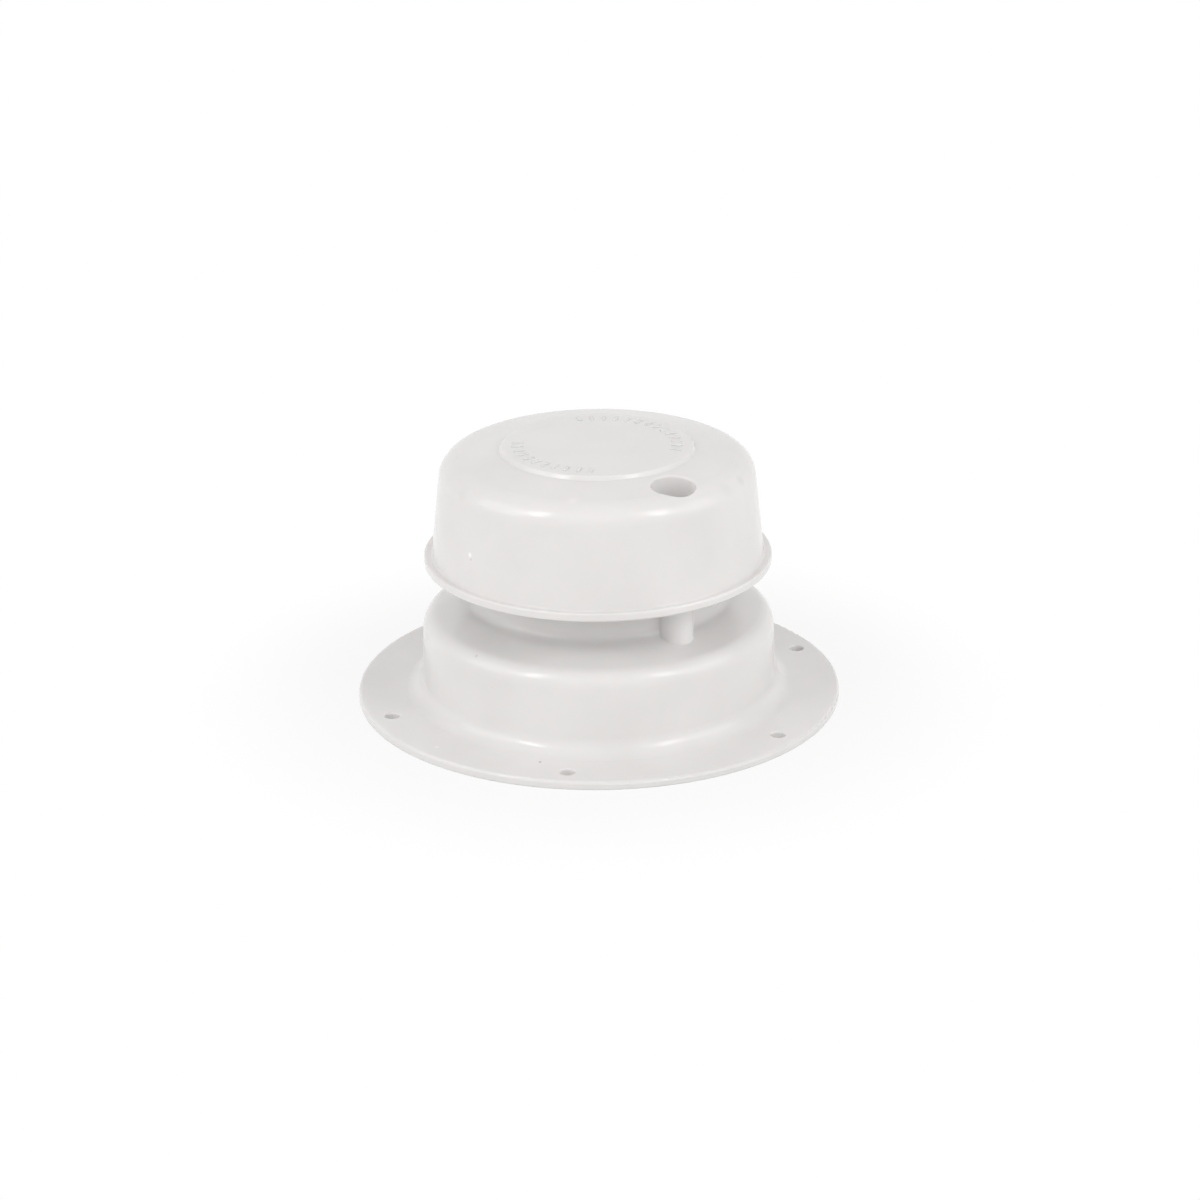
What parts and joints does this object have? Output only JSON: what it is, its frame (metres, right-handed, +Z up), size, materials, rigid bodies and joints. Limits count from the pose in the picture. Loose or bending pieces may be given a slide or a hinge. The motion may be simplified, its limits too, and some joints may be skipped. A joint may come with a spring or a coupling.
{
  "type": "plumbing vent cap",
  "caption": "White moulded roof vent for a plumbing pipe: a flanged base with an open neck, under a round brimmed cap that keeps rain out and lets air escape all round.",
  "frame": {"origin": "centre of the flange's underside", "axes": "+Z up along the neck's axis, -Y towards the front of the picture, +X to its right"},
  "size_m": [0.1778, 0.1778, 0.0967],
  "materials": {
    "base_plastic": "white injection-moulded plastic with a soft gloss",
    "cap_plastic": "white injection-moulded plastic with a soft gloss",
    "screw_steel": "bright stainless steel"
  },
  "bodies": {
    "root": {"base": "base_plastic", "cap": "cap_plastic", "cap_screw": "screw_steel"}
  },
  "joints": []
}
